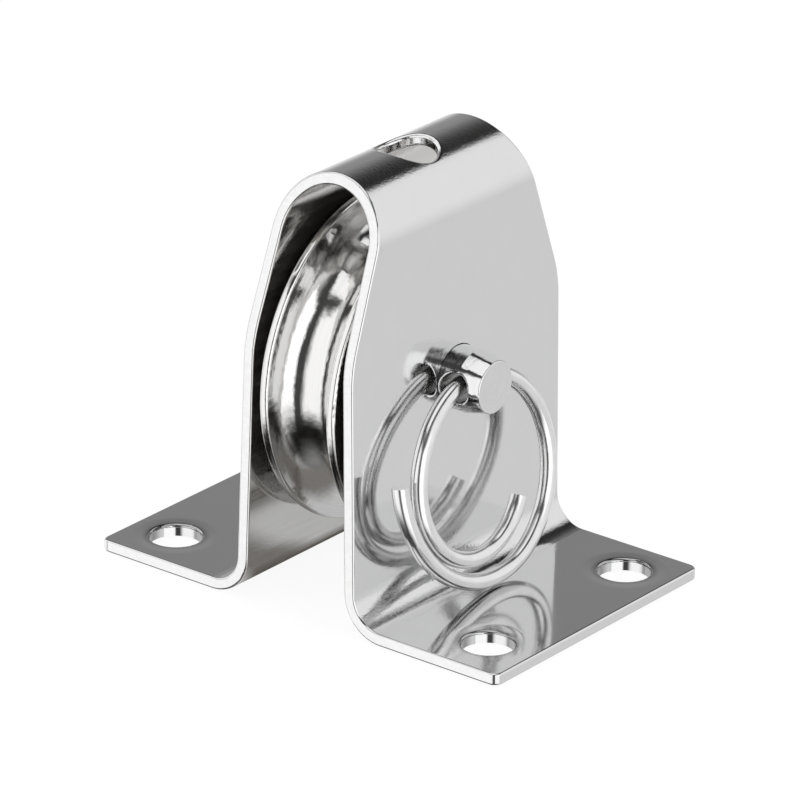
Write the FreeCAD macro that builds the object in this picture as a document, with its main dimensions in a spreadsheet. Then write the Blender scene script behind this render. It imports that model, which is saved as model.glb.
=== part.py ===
import FreeCAD, Part
import math
import os
import Sketcher

# Foot block: a bent strap that carries one sheave on a pin, which a split ring keeps in.
# +X runs along the pin towards its ring end, +Y across the strap and +Z up.
# The origin is the middle of the flat underside. Sizes are in millimetres and degrees.
SIZES = {
    "SheetThickness": 1.5,
    "BaseLength": 60.0,
    "BaseWidth": 40.0,
    "FootCornerRadius": 1.2,
    "BendRadius": 3.9,
    "CheekSplay": 1.4,
    "CrownDrop": 1.4,
    "CrownWidth": 25.2,
    "TaperAbovePin": 6.7,
    "TaperBlendRadius": 15.0,
    "EdgeRound": 0.3,
    "FootHoleDiameter": 6.4,
    "FootHoleFromEnd": 6.3,
    "FootHoleFromSide": 6.6,
    "CrownHoleDiameter": 7.4,
    "HoleRound": 0.4,
    "SheaveDiameter": 41.6,
    "SheaveWidth": 11.1,
    "SheaveFootGap": 6.0,
    "SideGapRingEnd": 0.3,
    "SideGapHeadEnd": 1.2,
    "GrooveRadius": 4.4,
    "GrooveDepth": 4.2,
    "LipRound": 0.45,
    "BushWall": 1.6,
    "BushProud": 0.4,
    "PinDiameter": 7.8,
    "PinClearance": 0.16,
    "PinHeadDiameter": 11.0,
    "PinHeadThickness": 2.0,
    "PinHeadGap": 0.2,
    "PinHeadRound": 0.4,
    "PinPastRingHole": 3.4,
    "PinTaperLength": 3.0,
    "PinEndDiameter": 6.5,
    "PinEndRound": 0.2,
    "RingHoleDiameter": 3.7,
    "RingHoleEdge": 0.35,
    "RingHoleRound": 0.25,
    "WireDiameter": 2.1,
    "RingRadius": 12.4,
    "RingLift": 0.45,
    "RingRestGap": 0.25,
    "RingInnerCoilTurn": 74.0,
    "RingInnerEndRadius": 9.8,
    "RingInnerEndTurn": 165.0,
    "RingOuterCoilTurn": 180.0,
    "RingOuterEndRadius": 15.5,
    "RingOuterEndTurn": 92.0,
}

doc = FreeCAD.newDocument("FootBlock")
sheet = doc.addObject("Spreadsheet::Sheet", "Sizes")
for row, (alias, number) in enumerate(SIZES.items(), start=1):
    sheet.set(f"A{row}", alias)
    sheet.set(f"B{row}", str(number))
    sheet.setAlias(f"B{row}", alias)
doc.recompute()


class Size:
    """A size with its value and the expression that drives it from the sheet."""

    def __init__(self, value, text):
        self.value = value
        self.text = text

    def combine(self, other, sign):
        other = other if isinstance(other, Size) else Size(other, str(other))
        value = {
            "+": self.value + other.value,
            "-": self.value - other.value,
            "*": self.value * other.value,
            "/": self.value / other.value if other.value else 0.0,
        }[sign]
        return Size(value, f"({self.text} {sign} {other.text})")

    def __add__(self, other):
        return self.combine(other, "+")

    def __sub__(self, other):
        return self.combine(other, "-")

    def __mul__(self, other):
        return self.combine(other, "*")

    def __truediv__(self, other):
        return self.combine(other, "/")

    def __neg__(self):
        return Size(-self.value, f"(-1 * {self.text})")


def size(alias):
    return Size(float(getattr(sheet, alias)), f"Sizes.{alias}")


def sine(angle):
    return Size(math.sin(math.radians(angle.value)), f"sin({angle.text} * 1 deg)")


def cosine(angle):
    return Size(math.cos(math.radians(angle.value)), f"cos({angle.text} * 1 deg)")


# Places that follow from the driving sizes
thickness = size("SheetThickness")
base_half = size("BaseLength") / 2
width_half = size("BaseWidth") / 2
crown_half = size("CrownWidth") / 2
splay = size("CheekSplay")
bend_radius = size("BendRadius")
bend_height = thickness + bend_radius
sheave_radius = size("SheaveDiameter") / 2
sheave_half = size("SheaveWidth") / 2
pin_height = size("SheaveFootGap") + sheave_radius
crown_inside = sheave_half + (size("SideGapRingEnd") + size("SideGapHeadEnd")) / 2
crown_outside = crown_inside + thickness
crown_centre = pin_height + sheave_radius - size("CrownDrop")
strap_height = crown_centre + crown_outside
taper_start = pin_height + size("TaperAbovePin")
sheave_shift = (size("SideGapHeadEnd") - size("SideGapRingEnd")) / 2
pin_radius = size("PinDiameter") / 2
pin_bore_radius = pin_radius + size("PinClearance") / 2
bush_radius = pin_bore_radius + size("BushWall")
ring_hole_radius = size("RingHoleDiameter") / 2
wire_radius = size("WireDiameter") / 2


def cheek_outside(height):
    """Distance of a cheek's outer face from the middle plane at a height."""
    return (crown_outside + (crown_centre - height) * sine(splay)) / cosine(splay)


bend_x = cheek_outside(bend_height) + bend_radius / cosine(splay)
ring_hole_x = cheek_outside(pin_height) + size("RingHoleEdge") + ring_hole_radius

# Names for the parts of a sketch that a constraint refers to
START, END, CENTRE = range(1, 4)
ACROSS, UPRIGHT = range(-1, -3, -1)
ORIGIN = (ACROSS, START)
MARGIN = Size(5.0, "5")
NONE = Size(0.0, "0")


def point(x, y):
    return FreeCAD.Vector(x, y, 0)


def line(start, end):
    return Part.LineSegment(point(*start), point(*end))


def circle(x, y, radius):
    return Part.Circle(point(x, y), FreeCAD.Vector(0, 0, 1), radius)


def arc(x, y, radius, first, last):
    """An arc that runs anticlockwise between two angles in degrees."""
    return Part.ArcOfCircle(circle(x, y, radius), math.radians(first), math.radians(last))


def new_body(label):
    body = doc.addObject("PartDesign::Body", label)
    body.Label = label
    return body


def origin_item(body, role):
    return next(item for item in body.Origin.OriginFeatures if item.Role == role)


def new_sketch(body, name, role):
    sketch = body.newObject("Sketcher::SketchObject", name)
    sketch.AttachmentSupport = [(origin_item(body, role), "")]
    sketch.MapMode = "FlatFace"
    return sketch


def rule(sketch, kind, *items):
    sketch.addConstraint(Sketcher.Constraint(kind, *items))


def measure(sketch, kind, *items, to):
    """A dimension that an expression drives."""
    angle = kind == "Angle"
    value = math.radians(to.value) if angle else to.value
    index = sketch.addConstraint(Sketcher.Constraint(kind, *items, value))
    sketch.setExpression(f"Constraints[{index}]", f"{to.text} * 1 deg" if angle else to.text)


def place(sketch, spot, x, y):
    """Fixes a point of a sketch by its two distances from the origin."""
    for kind, lock, distance in (("DistanceX", UPRIGHT, x), ("DistanceY", ACROSS, y)):
        if distance is NONE:
            rule(sketch, "PointOnObject", *spot, lock)
        else:
            measure(sketch, kind, *ORIGIN, *spot, to=distance)


def draw_outline(sketch, corners):
    """A closed outline of straight lines between corners with sizes of their own."""
    spots = [(x.value, y.value) for x, y in corners]
    first = sketch.GeometryCount
    for index, spot in enumerate(spots):
        sketch.addGeometry(line(spot, spots[(index + 1) % len(spots)]))
    for index, (x, y) in enumerate(corners):
        before = first + (index - 1) % len(corners)
        rule(sketch, "Coincident", before, END, first + index, START)
        place(sketch, (first + index, START), x, y)


def draw_circle(sketch, x, y, radius):
    index = sketch.addGeometry(circle(x.value, y.value, radius.value))
    place(sketch, (index, CENTRE), x, y)
    measure(sketch, "Radius", index, to=radius)


def add_feature(body, kind, name, **settings):
    feature = body.newObject(f"PartDesign::{kind}", name)
    for key, setting in settings.items():
        setattr(feature, key, setting)
    return feature


def cut_through(body, name, sketch, **settings):
    doc.recompute()
    before = body.Shape.Volume
    feature = add_feature(body, "Pocket", name, Profile=sketch, Type="ThroughAll", **settings)
    doc.recompute()
    if not body.Shape.Volume < before:
        raise RuntimeError(f"{name} cuts nothing")
    return feature


def turn_about_pin_axis(body, name, section):
    add_feature(body, "Revolution", name, Profile=section, ReferenceAxis=(section, ["H_Axis"]))


def round_edges(body, name, radius, test):
    """Rounds each edge of the body so far that passes the test."""
    doc.recompute()
    tip = body.Tip
    edges = [f"Edge{i}" for i, edge in enumerate(tip.Shape.Edges, start=1) if test(edge)]
    if not edges:
        raise RuntimeError(f"{name} finds no edge")
    feature = add_feature(body, "Fillet", name, Base=(tip, edges))
    feature.setExpression("Radius", radius.text)


def middle(edge):
    return edge.valueAt((edge.FirstParameter + edge.LastParameter) / 2)


def near(first, second, tolerance=0.02):
    return abs(first - second) < tolerance


def is_straight(edge):
    return isinstance(edge.Curve, (Part.Line, Part.LineSegment))


def rim_of(edge, x, y, radius):
    """True for a closed edge that runs round a hole along Z."""
    centre = edge.BoundBox.Center
    across = max(edge.BoundBox.XLength, edge.BoundBox.YLength)
    return edge.isClosed() and near(centre.x, x) and near(centre.y, y) and near(across, 2 * radius)


def draw_strip_skin(sketch, crown_radius, foot_height):
    """One skin of the bent strip: crown, two cheeks, two bends and two feet."""
    lean = math.radians(splay.value)
    bend = bend_height.value - foot_height.value
    top_centre = (0, crown_centre.value)
    top = sketch.addGeometry(arc(*top_centre, crown_radius.value, splay.value, 180 - splay.value))
    curves, feet = [], []
    for side in (1, -1):
        bend_centre = (side * bend_x.value, bend_height.value)
        high_x = side * crown_radius.value * math.cos(lean)
        high_z = crown_centre.value + crown_radius.value * math.sin(lean)
        low_x = side * (bend_x.value - bend * math.cos(lean))
        low_z = bend_height.value - bend * math.sin(lean)
        sweep = (180 + splay.value, 270) if side > 0 else (270, 360 - splay.value)
        upper, lower = (START, END) if side > 0 else (END, START)
        toe = (side * base_half.value, foot_height.value)
        cheek = sketch.addGeometry(line((low_x, low_z), (high_x, high_z)))
        curve = sketch.addGeometry(arc(*bend_centre, bend, *sweep))
        foot = sketch.addGeometry(line((bend_centre[0], foot_height.value), toe))
        rule(sketch, "Tangent", top, upper, cheek, END)
        rule(sketch, "Tangent", cheek, START, curve, upper)
        rule(sketch, "Tangent", curve, lower, foot, START)
        rule(sketch, "Horizontal", foot)
        curves.append(curve)
        feet.append(foot)
    return top, curves, feet


def draw_strip(sketch):
    """The strip seen along Y, one sheet thick from toe to toe."""
    top, curves, feet = draw_strip_skin(sketch, crown_outside, thickness)
    inner_top, inner_curves, inner_feet = draw_strip_skin(sketch, crown_inside, NONE)
    place(sketch, (top, CENTRE), NONE, crown_centre)
    measure(sketch, "Radius", top, to=crown_outside)
    rule(sketch, "Coincident", inner_top, CENTRE, top, CENTRE)
    measure(sketch, "Radius", inner_top, to=crown_inside)
    measure(sketch, "Angle", top, to=Size(180.0, "180") - splay * 2)
    rule(sketch, "Symmetric", top, START, top, END, UPRIGHT)
    for side, curve, inner_curve, foot, inner_foot in zip(
        (1, -1), curves, inner_curves, feet, inner_feet
    ):
        toe = sketch.addGeometry(
            line((side * base_half.value, 0), (side * base_half.value, thickness.value))
        )
        rule(sketch, "Coincident", toe, START, inner_foot, END)
        rule(sketch, "Coincident", toe, END, foot, END)
        rule(sketch, "Vertical", toe)
        measure(sketch, "Radius", curve, to=bend_radius)
        rule(sketch, "Coincident", inner_curve, CENTRE, curve, CENTRE)
        place(sketch, (toe, START), base_half if side > 0 else -base_half, NONE)
        measure(sketch, "DistanceY", toe, START, toe, END, to=thickness)


def make_strap():
    body = new_body("strap")
    profile = new_sketch(body, "strap_profile", "XZ_Plane")
    draw_strip(profile)
    strip = add_feature(body, "Pad", "strap_strip", Profile=profile, SideType="Symmetric")
    strip.setExpression("Length", (width_half * 2).text)

    taper = new_sketch(body, "strap_taper_sketch", "YZ_Plane")
    outside = -(width_half + MARGIN)
    above = strap_height + MARGIN
    corners = [
        (outside, taper_start),
        (-width_half, taper_start),
        (-crown_half, strap_height),
        (-crown_half, above),
        (outside, above),
    ]
    draw_outline(taper, corners)
    front = cut_through(body, "strap_front_taper", taper, SideType="Symmetric")
    back = add_feature(body, "Mirrored", "strap_back_taper", Originals=[front])
    back.MirrorPlane = (origin_item(body, "XZ_Plane"), [""])
    body.Tip = back

    pin_holes = new_sketch(body, "strap_pin_hole_sketch", "YZ_Plane")
    draw_circle(pin_holes, NONE, pin_height, pin_bore_radius)
    cut_through(body, "strap_pin_holes", pin_holes, SideType="Symmetric")

    crown_hole = new_sketch(body, "strap_crown_hole_sketch", "XY_Plane")
    draw_circle(crown_hole, NONE, NONE, size("CrownHoleDiameter") / 2)
    cut_through(body, "strap_crown_hole", crown_hole, Reversed=True)

    foot_x = base_half - size("FootHoleFromEnd")
    foot_y = width_half - size("FootHoleFromSide")
    foot_radius = size("FootHoleDiameter") / 2
    foot_centres = [(x, y) for x in (foot_x, -foot_x) for y in (foot_y, -foot_y)]
    foot_holes = new_sketch(body, "strap_foot_hole_sketch", "XY_Plane")
    for x, y in foot_centres:
        draw_circle(foot_holes, x, y, foot_radius)
    cut_through(body, "strap_foot_holes", foot_holes, Reversed=True)

    def is_taper_corner(edge):
        spot = middle(edge)
        across_sheet = is_straight(edge) and edge.Length < 2 * thickness.value
        return across_sheet and near(spot.z, taper_start.value)

    def is_foot_corner(edge):
        spot = middle(edge)
        at_corner = near(abs(spot.x), base_half.value) and near(abs(spot.y), width_half.value)
        return at_corner and near(edge.Length, thickness.value)

    def is_hole_rim(edge):
        on_top = edge.BoundBox.ZMin > thickness.value / 2
        crown_rim = rim_of(edge, 0, 0, size("CrownHoleDiameter").value / 2)
        foot_rim = any(rim_of(edge, x.value, y.value, foot_radius.value) for x, y in foot_centres)
        return on_top and (crown_rim or foot_rim)

    def is_cut_edge(edge):
        spot = middle(edge)
        box = edge.BoundBox
        at_toe = near(abs(spot.x), base_half.value)
        at_side = abs(spot.y) > crown_half.value / 2
        along_y = is_straight(edge) and near(box.XLength, 0) and near(box.ZLength, 0)
        across_sheet = is_straight(edge) and edge.Length < 1.5 * thickness.value
        return (at_toe or (at_side and not along_y)) and not across_sheet and not edge.isClosed()

    round_edges(body, "strap_taper_blend", size("TaperBlendRadius"), is_taper_corner)
    round_edges(body, "strap_foot_corners", size("FootCornerRadius"), is_foot_corner)
    round_edges(body, "strap_hole_rims", size("HoleRound"), is_hole_rim)
    round_edges(body, "strap_cut_edges", size("EdgeRound"), is_cut_edge)
    return body


def make_sheave():
    """A turned wheel with a round rope groove between two lips."""
    body = new_body("sheave")
    section = new_sketch(body, "sheave_section", "XZ_Plane")
    radius, depth = size("GrooveRadius"), size("GrooveDepth")
    groove_centre = sheave_radius + radius - depth
    rise = groove_centre.value - sheave_radius.value
    groove_half = math.sqrt(radius.value**2 - rise**2)
    dip = math.degrees(math.asin(rise / radius.value))
    half, rim, bore = sheave_half.value, sheave_radius.value, bush_radius.value
    spots = [(groove_half, rim), (half, rim), (half, bore), (-half, bore), (-half, rim)]
    spots.append((-groove_half, rim))
    for start, end in zip(spots, spots[1:]):
        section.addGeometry(line(start, end))
    groove = section.addGeometry(arc(0, groove_centre.value, radius.value, 180 + dip, 360 - dip))
    right_lip, right_face, bore_line, left_face, left_lip = range(5)
    for before, after in zip(range(4), range(1, 5)):
        rule(section, "Coincident", before, END, after, START)
    rule(section, "Coincident", left_lip, END, groove, START)
    rule(section, "Coincident", groove, END, right_lip, START)
    rule(section, "Horizontal", right_lip)
    rule(section, "Horizontal", left_lip)
    place(section, (right_face, START), sheave_half, sheave_radius)
    place(section, (right_face, END), sheave_half, bush_radius)
    place(section, (left_face, START), -sheave_half, bush_radius)
    place(section, (left_face, END), -sheave_half, sheave_radius)
    place(section, (groove, CENTRE), NONE, groove_centre)
    measure(section, "Radius", groove, to=radius)
    turn_about_pin_axis(body, "sheave_wheel", section)

    def is_lip(edge):
        return edge.isClosed() and near(edge.BoundBox.ZLength / 2, sheave_radius.value)

    round_edges(body, "sheave_lips", size("LipRound"), is_lip)
    body.setExpression("Placement.Base.x", sheave_shift.text)
    body.setExpression("Placement.Base.z", pin_height.text)
    return body


def make_bush():
    """The plain bearing pressed into the sheave; its ends stand proud as thrust faces."""
    body = new_body("sheave_bush")
    section = new_sketch(body, "bush_section", "YZ_Plane")
    draw_circle(section, NONE, NONE, bush_radius)
    draw_circle(section, NONE, NONE, pin_bore_radius)
    sleeve = add_feature(body, "Pad", "bush_sleeve", Profile=section, SideType="Symmetric")
    sleeve.setExpression("Length", ((sheave_half + size("BushProud")) * 2).text)
    body.setExpression("Placement.Base.x", sheave_shift.text)
    body.setExpression("Placement.Base.z", pin_height.text)
    return body


def make_pin():
    """A headed pin with a tapered tail and a cross hole for the ring."""
    body = new_body("pin")
    section = new_sketch(body, "pin_section", "XZ_Plane")
    head_radius = size("PinHeadDiameter") / 2
    head_seat = -(cheek_outside(pin_height - head_radius) + size("PinHeadGap"))
    head_end = head_seat - size("PinHeadThickness")
    tail_end = ring_hole_x + size("PinPastRingHole")
    corners = [
        (head_end, NONE),
        (head_end, head_radius),
        (head_seat, head_radius),
        (head_seat, pin_radius),
        (tail_end - size("PinTaperLength"), pin_radius),
        (tail_end, size("PinEndDiameter") / 2),
        (tail_end, NONE),
    ]
    draw_outline(section, corners)
    turn_about_pin_axis(body, "pin_turning", section)

    ring_hole = new_sketch(body, "pin_ring_hole_sketch", "XZ_Plane")
    draw_circle(ring_hole, ring_hole_x, NONE, ring_hole_radius)
    cut_through(body, "pin_ring_hole", ring_hole, SideType="Symmetric")

    def is_head_edge(edge):
        return edge.isClosed() and near(edge.BoundBox.ZLength / 2, head_radius.value)

    def is_tail_edge(edge):
        return edge.isClosed() and near(edge.BoundBox.ZLength, size("PinEndDiameter").value)

    def is_hole_rim(edge):
        spots = [edge.valueAt(edge.FirstParameter), middle(edge), edge.valueAt(edge.LastParameter)]
        reaches = [math.hypot(spot.x - ring_hole_x.value, spot.z) for spot in spots]
        return not is_straight(edge) and all(near(reach, ring_hole_radius.value) for reach in reaches)

    round_edges(body, "pin_head_edges", size("PinHeadRound"), is_head_edge)
    round_edges(body, "pin_tail_edge", size("PinEndRound"), is_tail_edge)
    round_edges(body, "pin_ring_hole_rims", size("RingHoleRound"), is_hole_rim)
    body.setExpression("Placement.Base.z", pin_height.text)
    return body


def draw_coil(sketch, side, first_turn, last_radius, last_turn):
    """The ring's wire from its top, by +Y for side 1, in an arc and then an arc of another radius."""
    first_radius = size("RingRadius")
    meeting = math.radians(first_turn.value)
    rest = first_radius.value - last_radius.value
    last_centre = (side * rest * math.sin(meeting), -first_radius.value - rest * math.cos(meeting))
    joint, finish = first_turn.value, first_turn.value + last_turn.value
    sweeps = [(0, joint), (joint, finish)]
    if side > 0:
        sweeps = [(90 - stop, 90 - go) for go, stop in sweeps]
    else:
        sweeps = [(90 + go, 90 + stop) for go, stop in sweeps]
    first = sketch.addGeometry(arc(0, -first_radius.value, first_radius.value, *sweeps[0]))
    last = sketch.addGeometry(arc(*last_centre, last_radius.value, *sweeps[1]))
    top, low = (END, START) if side > 0 else (START, END)
    rule(sketch, "Coincident", first, top, *ORIGIN)
    rule(sketch, "PointOnObject", first, CENTRE, UPRIGHT)
    rule(sketch, "Tangent", first, low, last, top)
    measure(sketch, "Radius", first, to=first_radius)
    measure(sketch, "Radius", last, to=last_radius)
    measure(sketch, "Angle", first, to=first_turn)
    measure(sketch, "Angle", last, to=last_turn)


def make_ring():
    """Round wire in a flat spiral of about one turn and a half, hung in the pin's hole."""
    body = new_body("split_ring")
    wire = new_sketch(body, "ring_wire", "XZ_Plane")
    draw_circle(wire, NONE, NONE, wire_radius)
    for name, side in (("Outer", 1), ("Inner", -1)):
        path = new_sketch(body, f"ring_{name.lower()}_path", "YZ_Plane")
        first_turn, last_turn = size(f"Ring{name}CoilTurn"), size(f"Ring{name}EndTurn")
        draw_coil(path, side, first_turn, size(f"Ring{name}EndRadius"), last_turn)
        doc.recompute()
        coil = f"ring_{name.lower()}_coil"
        add_feature(body, "AdditivePipe", coil, Profile=wire, Spine=(path, ["Edge1", "Edge2"]))
        doc.recompute()

    # The ring leans outwards until its lowest point rests on the foot.
    drop = size("RingRadius").value * 2
    reach = pin_height + size("RingLift") - thickness - wire_radius - size("RingRestGap")
    tilt = math.degrees(math.acos(min(1.0, reach.value / drop)))
    turn = FreeCAD.Rotation(FreeCAD.Vector(0, -1, 0), tilt)
    hang = FreeCAD.Vector(ring_hole_x.value, 0, pin_height.value + size("RingLift").value)
    body.Placement = FreeCAD.Placement(hang, turn)
    return body


bodies = [make_strap(), make_sheave(), make_bush(), make_pin(), make_ring()]
doc.recompute()
for item in doc.Objects:
    if "Invalid" in item.State or "Error" in item.State:
        raise RuntimeError(f"{item.Label} failed: {item.State}")
for body in bodies:
    if body.Shape.isNull() or not body.Shape.isValid() or len(body.Shape.Solids) != 1:
        raise RuntimeError(f"{body.Label} isn't one sound solid")

os.makedirs("parts", exist_ok=True)
for body in bodies:
    body.Shape.exportStep(f"parts/{body.Label}.step")
    box = body.Shape.BoundBox
    spans = f"{box.XLength:.2f} x {box.YLength:.2f} x {box.ZLength:.2f} mm"
    print(f"{body.Label}: {body.Shape.Volume:.1f} mm3, {spans}")
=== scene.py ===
import math

import bpy
from mathutils import Matrix, Vector

# The looks of the foot block: mirror-polished stainless strap, turned sheave, pin and wire ring,
# in a white studio with a tall soft box on each side of the camera and one overhead.
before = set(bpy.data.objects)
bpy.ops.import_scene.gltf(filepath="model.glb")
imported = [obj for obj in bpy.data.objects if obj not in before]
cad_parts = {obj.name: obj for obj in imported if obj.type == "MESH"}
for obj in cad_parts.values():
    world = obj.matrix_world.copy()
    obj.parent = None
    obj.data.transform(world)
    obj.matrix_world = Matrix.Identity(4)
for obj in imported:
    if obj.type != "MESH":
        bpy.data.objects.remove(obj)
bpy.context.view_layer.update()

# Places and sizes on the block, in millimetres, as are all patterns.
PIN_HEIGHT = 26.8
CROWN_CENTRE = 46.2
CROWN_HOLE_RADIUS = 3.7
FOOT_HOLES = (23.7, 13.4)
FOOT_HOLE_RADIUS = 3.2
RING_HOLE = 10.476
LIGHT_LEVEL = 0.84
STEEL = (0.74, 0.742, 0.742, 1.0)


def grey(level):
    return (level, level, level, 1.0)


class Value:
    """A shader socket that takes part in sums, each of which adds its Math node."""

    def __init__(self, tree, socket):
        self.tree, self.socket = tree, socket

    def math(self, operation, *operands):
        return self.tree.add("ShaderNodeMath", {"operation": operation}, dict(enumerate(operands)))

    def __add__(self, other):
        return self.math("ADD", self, other)

    __radd__ = __add__

    def __sub__(self, other):
        return self.math("SUBTRACT", self, other)

    def __rsub__(self, other):
        return self.math("SUBTRACT", other, self)

    def __mul__(self, other):
        return self.math("MULTIPLY", self, other)

    __rmul__ = __mul__

    def __truediv__(self, other):
        return self.math("DIVIDE", self, other)

    def most(self, other):
        return self.math("MAXIMUM", self, other)

    def size(self):
        return self.math("ABSOLUTE", self)

    def reach(self, other):
        """The distance that two offsets at right angles make."""
        square = self * self + other * other
        return square.math("SQRT", square)

    def fade(self, start, end):
        """Rises softly from 0 at start to 1 at end; start may be the larger."""
        settings = {"interpolation_type": "SMOOTHSTEP"}
        inputs = {"Value": self, "From Min": start, "From Max": end}
        return self.tree.add("ShaderNodeMapRange", settings, inputs)


class Tree:
    """The nodes of one material or of the surroundings."""

    def __init__(self, owner):
        owner.use_nodes = True
        self.nodes, self.links = owner.node_tree.nodes, owner.node_tree.links
        self.nodes.clear()

    def add(self, kind, settings=None, inputs=None, output=0):
        """Adds a node with its settings, then its inputs, and gives one of its outputs."""
        node = self.nodes.new(kind)
        for name, setting in (settings or {}).items():
            setattr(node, name, setting)
        for name, given in (inputs or {}).items():
            if isinstance(given, Value):
                self.links.new(given.socket, node.inputs[name])
            else:
                node.inputs[name].default_value = given
        return Value(self, node.outputs[output]) if node.outputs else None

    def again(self, value, output):
        """Another output of the node that a value came from."""
        return Value(self, value.socket.node.outputs[output])

    def split(self, vector):
        x = self.add("ShaderNodeSeparateXYZ", inputs={0: vector})
        return x, self.again(x, "Y"), self.again(x, "Z")

    def join(self, x, y, z):
        return self.add("ShaderNodeCombineXYZ", inputs={0: x, 1: y, 2: z})

    def noise(self, place, scale, detail=2.0, roughness=0.5):
        inputs = {"Vector": place, "Scale": scale, "Detail": detail, "Roughness": roughness}
        return self.add("ShaderNodeTexNoise", inputs=inputs)

    def blend(self, share, first, second):
        """A colour between two, by a share."""
        settings = {"data_type": "RGBA"}
        return self.add("ShaderNodeMix", settings, {0: share, 6: first, 7: second}, output=2)

    def place(self):
        """The place on the piece in millimetres."""
        here = self.add("ShaderNodeTexCoord", output="Object")
        inputs = {0: here, "Scale": 1000.0}
        return self.add("ShaderNodeVectorMath", {"operation": "SCALE"}, inputs)

    def raise_skin(self, height, depth, normal=None):
        """A surface raised by a height from 0 to 1, over a depth in micrometres."""
        inputs = {"Strength": 1.0, "Distance": depth * 1.0e-6, "Height": height}
        if normal:
            inputs["Normal"] = normal
        return self.add("ShaderNodeBump", inputs=inputs)


def round_the_pin(tree, x_scale, radius_scale, turn_scale):
    """Place on a turned piece: along the pin's axis, out from it and round it."""
    x, y, z = tree.split(tree.place())
    up = z - PIN_HEIGHT
    radius = y.reach(up)
    turn = y.math("ARCTAN2", y, up)
    return tree.join(x * x_scale, radius * radius_scale, turn * turn_scale)


def finish_metal(tree, color, roughness, normal, haze, haze_color):
    """Bright metal under a thin dull haze, whose share may vary."""
    inputs = {"Base Color": color, "Metallic": 1.0, "Roughness": roughness, "Normal": normal}
    bright = tree.add("ShaderNodeBsdfPrincipled", inputs=inputs)
    inputs = {"Base Color": haze_color, "Metallic": 0.0, "Roughness": 0.5}
    dull = tree.add("ShaderNodeBsdfPrincipled", inputs=inputs)
    mixed = tree.add("ShaderNodeMixShader", inputs={0: haze, 1: bright, 2: dull})
    tree.add("ShaderNodeOutputMaterial", inputs={"Surface": mixed})


def polished_sheet(name):
    """Buffed stainless sheet: a mirror outside, warmer inside, rippled where it is bent."""
    material = bpy.data.materials.new(name)
    tree = Tree(material)
    place = tree.place()
    x, y, z = tree.split(place)
    facing = tree.add("ShaderNodeTexCoord", output="Normal")
    facing_x, facing_y, facing_z = tree.split(facing)
    across = x.size() - FOOT_HOLES[0]
    beside = y.size() - FOOT_HOLES[1]
    from_hole, from_crown_hole = across.reach(beside), x.reach(y)
    # Hole walls keep the outer finish, whichever way they face.
    clear = from_hole.fade(FOOT_HOLE_RADIUS + 0.3, FOOT_HOLE_RADIUS + 1.0).most(z.fade(2.0, 3.0))
    crown_clear = from_crown_hole.fade(CROWN_HOLE_RADIUS + 0.1, CROWN_HOLE_RADIUS + 0.9)
    clear = clear * crown_clear.most(z.fade(51.0, 50.0))
    rise = (z - CROWN_CENTRE).most(0.0)
    inward = (facing_x * x + facing_z * rise).fade(-1.5, -5.0) * clear
    cut_edge = facing_y.size().fade(0.80, 0.97) * clear
    bent = z.fade(46.5, 50.0).most(z.fade(9.0, 5.5) * x.size().fade(15.5, 12.5))

    grain = tree.noise(tree.join(x * 0.09, y * 2.6, z * 0.09), 1.0, 3.0, 0.6)
    streaks = tree.noise(tree.join(x * 1.4, y * 0.10, z * 1.4), 1.0, 3.0, 0.65)
    dimples = tree.noise(place, 3.2, 2.0, 0.6)
    peel = tree.noise(place, 3.6, 1.0, 0.6)
    waves = tree.noise(place, 0.12, 1.0, 0.4)
    cloud = tree.noise(place, 0.26, 3.0, 0.6)
    scratches = tree.noise(tree.join(x * 1.1, y * 7.0, z * 1.1), 1.0, 3.0, 0.65)

    dish = from_hole.fade(FOOT_HOLE_RADIUS - 0.2, FOOT_HOLE_RADIUS + 2.2) * z.fade(3.0, 2.0)

    normal = tree.raise_skin(waves, 4.0)
    normal = tree.raise_skin(grain, 0.4, normal)
    normal = tree.raise_skin(dimples, 0.5, normal)
    normal = tree.raise_skin(peel * bent, 14.0, normal)
    normal = tree.raise_skin(dish, 60.0, normal)
    normal = tree.raise_skin(streaks * inward, 1.2, normal)
    normal = tree.raise_skin(scratches * cut_edge, 0.9, normal)

    roughness = 0.07 + cloud.fade(0.3, 0.75) * 0.04 + grain.fade(0.55, 0.8) * 0.03
    roughness = roughness + inward * streaks.fade(0.4, 0.7) * 0.05
    roughness = roughness + cut_edge * 0.05 + bent * 0.02
    color = tree.blend(cloud.fade(0.25, 0.8), (0.725, 0.727, 0.727, 1.0), STEEL)
    inner = tree.blend(streaks.fade(0.3, 0.7), (0.68, 0.67, 0.66, 1.0), (0.73, 0.725, 0.715, 1.0))
    sawn = tree.blend(scratches.fade(0.3, 0.7), grey(0.76), grey(0.80))
    color = tree.blend(cut_edge, tree.blend(inward, color, inner), sawn)
    # Painted shade: the foot holes are darkened round their rims and at two opposite ends of their
    # walls; the slant that picks those ends follows the camera's turn.
    rim_painted_shade = from_hole.fade(FOOT_HOLE_RADIUS + 1.1, FOOT_HOLE_RADIUS + 0.1) * z.fade(1.1, 1.35)
    color = tree.blend(rim_painted_shade * 0.6, color, grey(0.20))
    quarter = x * y
    slant = across * 0.792 + beside * 0.611 * quarter.math("SIGN", quarter)
    wall_painted_shade = from_hole.fade(FOOT_HOLE_RADIUS + 0.4, FOOT_HOLE_RADIUS + 0.1) * z.fade(1.35, 1.2)
    color = tree.blend(wall_painted_shade * slant.size().fade(1.7, 2.8) * 0.75, color, grey(0.16))
    haze = 0.015 + inward * (0.03 + streaks.fade(0.35, 0.7) * 0.05)
    finish_metal(tree, color, roughness, normal, haze, (0.50, 0.47, 0.44, 1.0))
    return material


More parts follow.
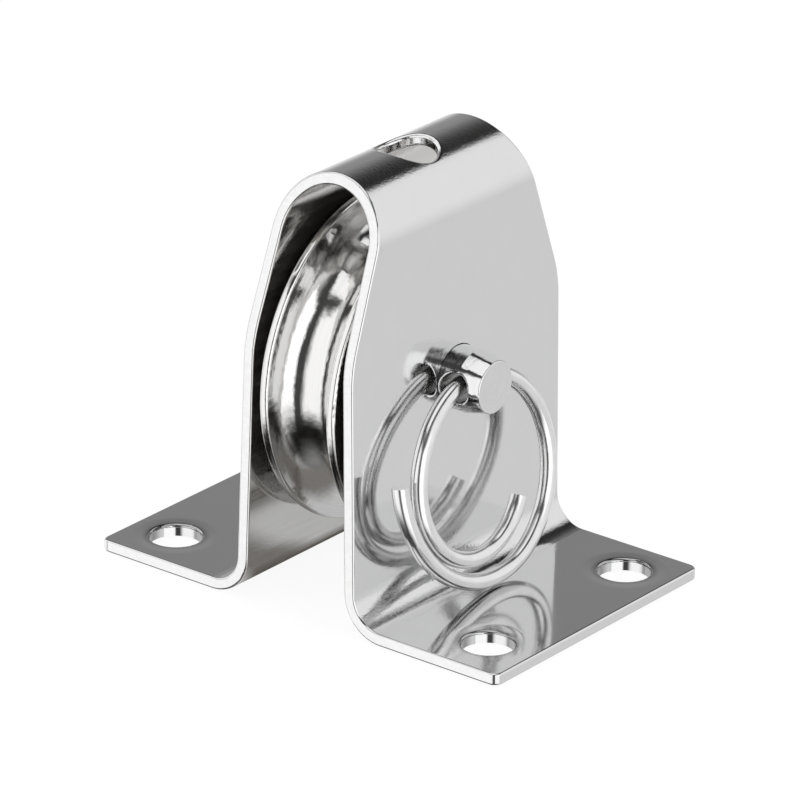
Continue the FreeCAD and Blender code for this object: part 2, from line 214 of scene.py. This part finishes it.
def turned_steel(name, lathe, hammer, roughness, haze, low, hole_shade=0.0):
    """Polished turned steel with lathe lines round the pin's axis, and painted shade that darkens
    its cross hole.
    """
    material = bpy.data.materials.new(name)
    tree = Tree(material)
    place = tree.place()
    lines = tree.noise(round_the_pin(tree, 3.5, 3.5, 1.2), 1.0, 3.0, 0.6)
    brushed = tree.noise(round_the_pin(tree, 1.8, 1.8, 7.0), 1.0, 3.0, 0.65)
    dimples = tree.noise(place, 4.2, 2.0, 0.65)
    dents = tree.noise(place, 0.75, 1.5, 0.5)
    cloud = tree.noise(place, 0.22, 3.0, 0.6)
    normal = tree.raise_skin(lines, 2.0 * lathe)
    normal = tree.raise_skin(brushed, 4.0 * lathe, normal)
    normal = tree.raise_skin(dents, 30.0 * hammer, normal)
    normal = tree.raise_skin(dimples, 5.0 * hammer, normal)
    rough = roughness + cloud.fade(0.3, 0.75) * 0.06 + brushed.fade(0.5, 0.8) * 0.08
    color = tree.blend(lines.fade(0.3, 0.7), low, STEEL)
    # Painted shade: the cross hole is darkened towards black and made rougher near its axis.
    if hole_shade:
        x, _, z = tree.split(place)
        from_axis = (x - RING_HOLE).reach(z - PIN_HEIGHT)
        hole_shade_mask = from_axis.fade(2.0, 1.7) * hole_shade
        color = tree.blend(hole_shade_mask, color, (0.08, 0.075, 0.07, 1.0))
        rough = rough + hole_shade_mask * 0.2
    share = haze + lines.fade(0.5, 0.8) * (0.6 * haze)
    finish_metal(tree, color, rough, normal, share, (0.48, 0.44, 0.40, 1.0))
    return material


def drawn_wire(name):
    """Satin drawn wire, smooth, with faint marks."""
    material = bpy.data.materials.new(name)
    tree = Tree(material)
    place = tree.place()
    dimples = tree.noise(place, 2.6, 2.0, 0.6)
    cloud = tree.noise(place, 0.5, 3.0, 0.6)
    normal = tree.raise_skin(dimples, 1.2)
    roughness = 0.15 + cloud.fade(0.3, 0.75) * 0.07
    color = tree.blend(cloud.fade(0.25, 0.8), grey(0.79), grey(0.85))
    finish_metal(tree, color, roughness, normal, 0.08, (0.55, 0.54, 0.53, 1.0))
    return material


def bearing_bronze(name):
    """Plain bearing bronze with turning lines and darker patches."""
    material = bpy.data.materials.new(name)
    tree = Tree(material)
    place = tree.place()
    lines = tree.noise(round_the_pin(tree, 2.5, 2.5, 1.0), 1.0, 3.0, 0.6)
    cloud = tree.noise(place, 0.4, 4.0, 0.65)
    normal = tree.raise_skin(lines, 1.5)
    roughness = 0.24 + cloud.fade(0.3, 0.75) * 0.14
    color = tree.blend(cloud.fade(0.2, 0.8), (0.40, 0.26, 0.12, 1.0), (0.66, 0.47, 0.25, 1.0))
    finish_metal(tree, color, roughness, normal, 0.15, (0.42, 0.30, 0.16, 1.0))
    return material


def light_surroundings():
    """The studio as the polished steel sees it, by direction; the camera sees plain white.

    Heights and turns are in degrees. The front turn is 0 towards -Y, the back turn 0 towards +Y,
    and both rise towards +X.
    """
    world = bpy.data.worlds.new("studio")
    bpy.context.scene.world = world
    tree = Tree(world)
    direction = tree.add("ShaderNodeTexCoord", output="Generated")
    x, y, z = tree.split(direction)
    degrees = 180.0 / math.pi
    height = z.math("ARCSINE", z) * degrees
    front = x.math("ARCTAN2", x, 0.0 - y) * degrees
    back = x.math("ARCTAN2", x, y) * degrees
    above = z.most(0.05)
    right_box = front.fade(37.0, 46.0) * front.fade(98.0, 91.0) * height.fade(-50.0, -18.0)
    right_box = right_box * height.fade(41.0, 31.0) * 1.75
    left_box = front.fade(25.0, 3.0) * front.fade(-108.0, -98.0) * height.fade(-48.0, -30.0)
    left_gap = 1.0 - front.fade(-44.0, -51.0) * front.fade(-70.0, -63.0) * 0.4
    left_box = left_box * left_gap * height.fade(48.0, 36.0) * 1.44
    across, along = x / above, y / above
    overhead = across.fade(0.31, 0.24) * across.fade(-1.4, -1.0) * along.fade(-0.70, -0.60)
    overhead = overhead * along.fade(0.45, 0.30) * z.fade(0.3, 0.4) * 1.4
    right_wall = back.fade(1.0, 15.0) * back.fade(130.0, 95.0) * height.fade(58.0, 48.0)
    right_wall = right_wall * (1.18 - height.fade(5.0, -22.0) * 0.31)
    behind = y.fade(-0.25, 0.15)
    left_wall = 0.02 + height.fade(44.0, 18.0) * 0.36 + height.fade(12.0, -17.0) * 0.70
    left_wall = left_wall * (0.30 + height.fade(-85.0, -25.0) * 0.70) * behind
    left_wall = left_wall * (1.0 - back.fade(-5.0, 25.0) * 0.12)
    table_front = height.fade(-52.0, -80.0) * 0.3
    light = left_wall.most(0.07 - behind * 0.05)
    light = light.most(right_box).most(left_box).most(overhead).most(right_wall)
    before = y.fade(0.1, -0.25)
    lower = height.fade(-30.0, -50.0) * before
    light = light * (1.0 - lower * 0.9) + table_front * before
    paths = tree.add("ShaderNodeLightPath", output="Is Camera Ray")
    strength = light * LIGHT_LEVEL * (1.0 - paths) + paths
    inputs = {"Color": grey(1.0), "Strength": strength}
    shader = tree.add("ShaderNodeBackground", inputs=inputs)
    tree.add("ShaderNodeOutputWorld", inputs={"Surface": shader})


def lay_floor():
    """A plain white floor that keeps the object's soft shadow.

    The steel sees it only between and just beside the cheeks, as a painted shadow: a dim glow,
    darker towards the front and darkest under the bends.
    """
    bpy.ops.mesh.primitive_circle_add(
        vertices=96, radius=1.6, fill_type="NGON", location=(0, 0, -0.0002)
    )
    floor = bpy.context.object
    floor.name = "floor"
    material = bpy.data.materials.new("white_floor")
    tree = Tree(material)
    matt = tree.add("ShaderNodeBsdfDiffuse", inputs={"Color": grey(0.9)})
    glow = tree.add("ShaderNodeEmission", inputs={"Color": grey(1.0), "Strength": 1.08})
    seen = tree.add("ShaderNodeLightPath", output="Is Camera Ray")
    mixed = tree.add("ShaderNodeMixShader", inputs={0: seen * 0.85, 1: matt, 2: glow})
    clear = tree.add("ShaderNodeBsdfTransparent")
    x, y, _ = tree.split(tree.place())
    beyond = x.size().fade(12.0, 16.0).most(y.size().fade(14.0, 19.0))
    # Painted shadow for glossy rays: a dim glow, darker towards the front and darkest close under
    # the cheeks' bends.
    shadow = tree.blend(y.fade(-2.0, -9.0), (0.62, 0.625, 0.625, 1.0), (0.22, 0.21, 0.20, 1.0))
    shadow = tree.blend(x.size().fade(6.0, 9.5), shadow, (0.12, 0.11, 0.10, 1.0))
    shade = tree.add("ShaderNodeEmission", inputs={"Color": shadow})
    mirrored = tree.add("ShaderNodeMixShader", inputs={0: beyond, 1: shade, 2: clear})
    glossy = tree.again(seen, "Is Glossy Ray")
    mixed = tree.add("ShaderNodeMixShader", inputs={0: glossy, 1: mixed, 2: mirrored})
    tree.add("ShaderNodeOutputMaterial", inputs={"Surface": mixed})
    floor.data.materials.append(material)


def set_camera():
    """The photograph's long lens, from the right front and a little above."""
    around, above, roll = (math.radians(angle) for angle in (37.642, 23.047, 1.034))
    level_reach = math.cos(above)
    back = Vector((
        math.sin(around) * level_reach, -math.cos(around) * level_reach, math.sin(above)
    ))
    level = Vector((math.cos(around), math.sin(around), 0.0))
    upright = back.cross(level)
    right = level * math.cos(roll) + upright * math.sin(roll)
    up = upright * math.cos(roll) - level * math.sin(roll)
    camera = bpy.data.objects.new("camera", bpy.data.cameras.new("camera"))
    camera.matrix_world = Matrix((right, up, back)).transposed().to_4x4()
    camera.location = (0.45218, -0.58662, 0.33651)
    camera.data.lens = 304.6
    camera.data.sensor_width = 36.0
    camera.data.clip_start, camera.data.clip_end = 0.01, 20.0
    bpy.context.scene.collection.objects.link(camera)
    bpy.context.scene.camera = camera


bpy.ops.object.select_all(action="DESELECT")
bpy.context.scene.view_settings.view_transform = "Standard"
set_camera()
light_surroundings()
lay_floor()

finishes = {
    "strap": polished_sheet("strap_steel_polish"),
    "sheave": turned_steel("sheave_steel_turned", 1.5, 1.0, 0.06, 0.02, (0.79, 0.78, 0.77, 1.0)),
    "sheave_bush": bearing_bronze("bush_bronze_turned"),
    "pin": turned_steel("pin_steel_turned", 0.06, 1.5, 0.02, 0.005, grey(0.71), 0.85),
    "split_ring": drawn_wire("ring_steel_wire"),
}
for node, material in finishes.items():
    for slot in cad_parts[node].material_slots:
        slot.material = material
